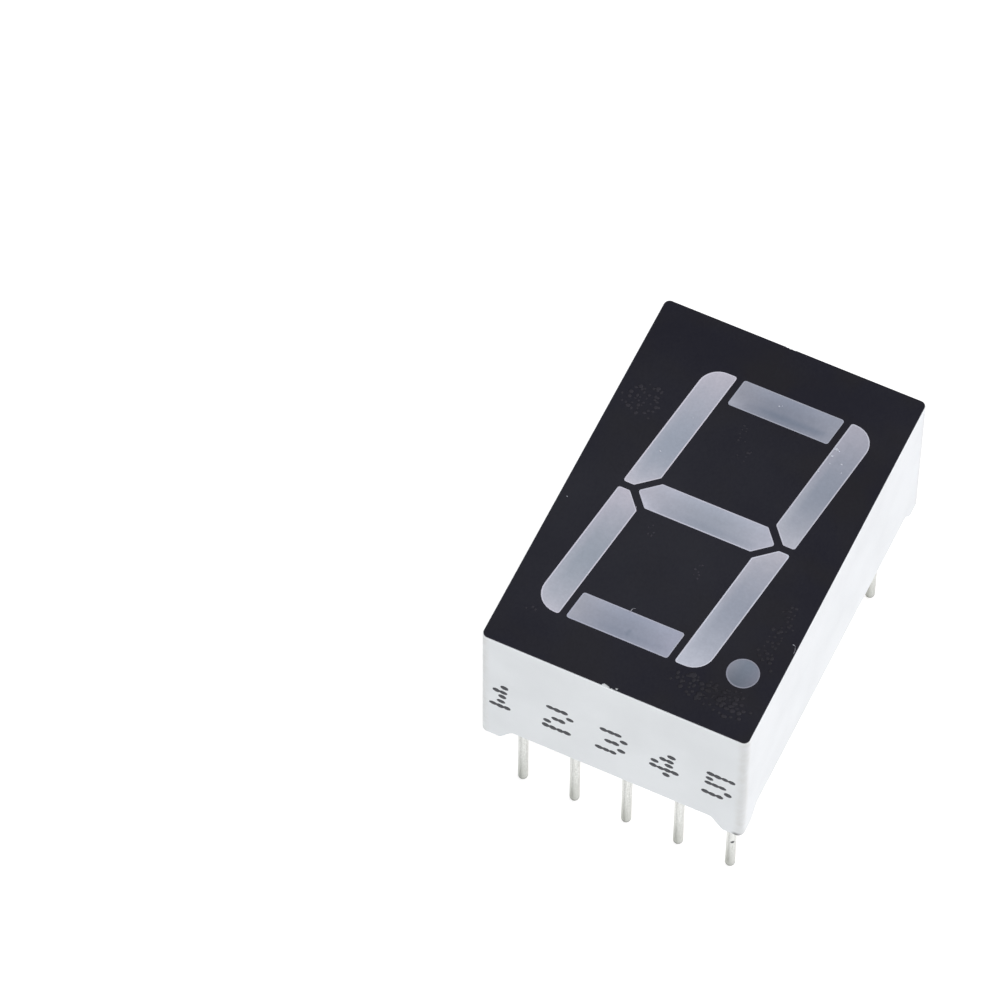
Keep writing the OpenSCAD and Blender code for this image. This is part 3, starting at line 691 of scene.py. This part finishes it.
def outlineOf(name):
    # a resin body's outline at the face, in mm from the face's centre; it bulges everywhere,
    # so the points follow one another by their angle round the middle
    mesh = nodes[name].data
    points = np.empty(len(mesh.vertices) * 3)
    mesh.vertices.foreach_get("co", points)
    points = (points.reshape(-1, 3) - np.array(faceCentre)) / mm
    atFace = points[:, 2] > -0.001
    rim = np.unique(points[atFace, :2].round(4), axis=0)
    away = rim - rim.mean(0)
    return rim[np.argsort(np.arctan2(away[:, 1], away[:, 0]))]


def addLips(steps=6):
    # a half-round bead carried along each outline, just inside it: as t goes from 0 to pi the
    # way in is width * (1 - cos t) / 2 and the height is rise * sin t
    t = np.linspace(0, np.pi, steps)
    inward = lips["width"] * (1 - np.cos(t)) / 2
    for name in resinNames:
        outline = outlineOf(name)
        ahead = np.roll(outline, -1, 0) - outline
        normal = np.stack([-ahead[:, 1], ahead[:, 0]], 1) / np.linalg.norm(ahead, axis=1)[:, None]
        mitre = normal + np.roll(normal, 1, 0)
        mitre *= 2 / (mitre ** 2).sum(1)[:, None]
        flat = outline[:, None] + mitre[:, None] * inward[:, None]
        points = onPlane(facePlane, flat[..., 0], flat[..., 1], lips["rise"] * np.sin(t))
        i, j = np.indices(flat.shape[:2])
        k, m = (i + 1) % len(outline), (j + 1) % steps
        faces = np.stack([i * steps + j, k * steps + j, k * steps + m, i * steps + m], -1)
        addPiece("lip_" + name, points, faces.reshape(-1, 4).tolist(),
                 lipMaterial(name))


# dust: pale grains and bits of lint on the face
dust = {
    "grain": "#d3d8e4", "lint": "#b0b1bb", "roughness": 0.9,
    "patch": 0.05,          # mm
    # across, up and half size in mm
    "grains": [(3.66, 5.6, 0.1), (3.79, 5.56, 0.05), (3.61, 5.2, 0.07), (4.17, 4.99, 0.06),
               (3.69, 4.82, 0.035), (4.34, 4.59, 0.035), (3.4, 4.24, 0.05),
               (-3.23, 2.21, 0.05), (-2.64, 4.36, 0.035), (-2.97, -0.82, 0.025), (0.5, 6.53, 0.045),
               (0.62, 6.6, 0.02), (-5.9, -1.62, 0.026), (6.02, -4.16, 0.025)],
    "grainStretch": (1.2, 0.8), "grainRise": 0.02,    # rise in mm
    # each fibre: start, bend and end, across and up in mm
    "fibres": [((5.98, -4.16), (6.08, -4.13), (6.13, -4.22)),
               ((6.14, -4.26), (6.21, -4.36), (6.2, -4.55)),
               ((-0.99, -5.7), (-0.97, -5.6), (-0.95, -5.52)),
               ((-0.95, -5.53), (-0.92, -5.46), (-0.84, -5.44))],
    "fibreRadii": (0.009, 0.008, 0.018, 0.006),    # mm
}


def dustMaterial(name, tone):
    # loose dust is matt and pale, without a highlight
    material, tree, place = startMaterial(name)
    patches = addNode(tree, "TexNoise", {"Vector": place, "Scale": 1 / (dust["patch"] * mm),
                                         "Detail": 2}, "Fac")
    full = linear(tone)[:3]
    colour = addNode(tree, "VectorMath", {"operation": "SCALE", 0: full, "Scale": patches})
    colour = addNode(tree, "VectorMath", {"operation": "ADD", 0: colour, 1: [c / 2 for c in full]})
    return finishMaterial(material, {"Base Color": colour, "Roughness": dust["roughness"]})


def addFibres(steps=13, sides=8):
    # a round tube carried along each bent line (1-t)^2 start + 2t(1-t) bend + t^2 end, lying on
    # the face; a flat cap closes either end
    t = np.linspace(0, 1, steps)[:, None]
    turn = np.arange(sides) * 2 * np.pi / sides
    radius = np.array(dust["fibreRadii"])[:, None, None]
    strands = np.array(dust["fibres"])
    start, bend, end = strands[:, None, 0], strands[:, None, 1], strands[:, None, 2]
    line = (1 - t) ** 2 * start + 2 * t * (1 - t) * bend + t ** 2 * end
    ahead = (1 - t) * (bend - start) + t * (end - bend)
    side = np.stack([-ahead[..., 1], ahead[..., 0]], -1) / np.linalg.norm(ahead, axis=-1)[..., None]
    flat = line[:, :, None] + (radius * np.cos(turn))[..., None] * side[:, :, None]
    points = onPlane(facePlane, flat[..., 0], flat[..., 1], radius * (1 + np.sin(turn)))
    strand, i, j = np.indices((len(strands), steps - 1, sides))
    ring = (strand * steps + i) * sides
    m = (j + 1) % sides
    walls = np.stack([ring + j, ring + m, ring + sides + m, ring + sides + j], -1)
    first = np.arange(len(strands))[:, None] * steps * sides + np.arange(sides)
    caps = first[:, ::-1].tolist() + (first + (steps - 1) * sides).tolist()
    addPiece("lint_fibres", points, walls.reshape(-1, 4).tolist() + caps,
             dustMaterial("lint", dust["lint"]))


def addGrains():
    # each grain is a small dome, wider than it is long
    grains = np.array(dust["grains"])
    addDomes("dust_grains", facePlane, grains[:, :2], grains[:, 2:] * dust["grainStretch"],
             dust["grainRise"], dustMaterial("paleDust", dust["grain"]), sides=7)


addNumbers()
addBlisters()
addLips()
addFibres()
addGrains()

# stage: pale floor, soft light, and the camera
studio = {
    "floorSize": 4.0,       # m
    "floorTone": "#cdcdce", "floorCloud": "#c8c8c9", "cloud": 60,    # mm
    "floorGlow": 0.72, "floorLight": "#ffffff",    # a light table: the floor shines evenly
    "sky": 0.3, "skyTone": "#ffffff",
    # name, place from the face's centre in mm, size in mm, watts, tone
    "lamps": [("keyLamp", (240, 150, 160), 200, 0.42, "#fffafd"),
              ("fillLamp", (-150, -240, 160), 220, 0.14, "#ffffff"),
              ("topLamp", (60, -80, 300), 200, 0.3, "#ffffff")],
}


def addFloor():
    # a lit table of opal sheet, so wide that its edge never shows
    side = studio["floorSize"] / 2
    corners = [(x * side, y * side, 0) for x, y in ((-1, -1), (1, -1), (1, 1), (-1, 1))]
    mesh = bpy.data.meshes.new("floor")
    mesh.from_pydata(corners, [], [(0, 1, 2, 3)])
    floor = bpy.data.objects.new("floor", mesh)
    bpy.context.scene.collection.objects.link(floor)
    floor.location.z = low.z
    material, tree, place = startMaterial("opalSheet")
    cloud = addNode(tree, "TexNoise", {"Vector": place, "Scale": 1 / (studio["cloud"] * mm),
                                       "Detail": 2}, "Fac")
    colour = addNode(tree, "Mix", {"data_type": "RGBA", "Factor": cloud, 6: linear(studio["floorTone"]),
                                   7: linear(studio["floorCloud"])}, 2)
    mesh.materials.append(finishMaterial(material, {
        "Base Color": colour, "Roughness": 0.8, "IOR": 1.3, "Emission Color": linear(studio["floorLight"]),
        "Emission Strength": studio["floorGlow"]}))


def addLamps():
    # square soft lamps turned to the face, under an even sky
    for name, place, size, watts, tone in studio["lamps"]:
        data = bpy.data.lights.new(name, "AREA")
        data.size = size * mm
        data.energy = watts
        data.color = linear(tone)[:3]
        lamp = bpy.data.objects.new(name, data)
        bpy.context.scene.collection.objects.link(lamp)
        lamp.location = faceCentre + Vector(place) * mm
        lamp.rotation_euler = (faceCentre - lamp.location).to_track_quat("-Z", "Y").to_euler()
    world = bpy.data.worlds.new("softSky")
    world.use_nodes = True
    sky = world.node_tree.nodes["Background"]
    sky.inputs["Color"].default_value = linear(studio["skyTone"])
    sky.inputs["Strength"].default_value = studio["sky"]
    bpy.context.scene.world = world


view = {
    "azimuth": 25.25, "elevation": 59.01, "roll": 0.28,     # degrees
    "distance": 319.1, "across": 8.93, "down": 0.77,        # mm, the face's centre from the lens axis
    "lens": 265.4, "sensor": 36, "near": 10,    # mm
}


def addCamera():
    # azimuth turns the way back to the lens from -Y towards +X, elevation lifts it, and the
    # camera rolls about it
    a, e, r = (math.radians(view[k]) for k in ("azimuth", "elevation", "roll"))
    back = Vector((math.sin(a) * math.cos(e), -math.cos(a) * math.cos(e), math.sin(e)))
    flatRight = Vector((math.cos(a), math.sin(a), 0))
    flatUp = back.cross(flatRight)
    right = math.cos(r) * flatRight + math.sin(r) * flatUp
    up = math.cos(r) * flatUp - math.sin(r) * flatRight
    data = bpy.data.cameras.new("camera")
    data.lens = view["lens"]
    data.sensor_width = view["sensor"]
    data.clip_start = view["near"] * mm
    camera = bpy.data.objects.new("camera", data)
    bpy.context.scene.collection.objects.link(camera)
    spot = faceCentre + (view["distance"] * back - view["across"] * right + view["down"] * up) * mm
    camera.matrix_world = Matrix.Translation(spot) @ Matrix((right, up, back)).transposed().to_4x4()
    bpy.context.scene.camera = camera


addFloor()
addLamps()
addCamera()
bpy.context.scene.view_settings.view_transform = "Standard"
print("stage set")
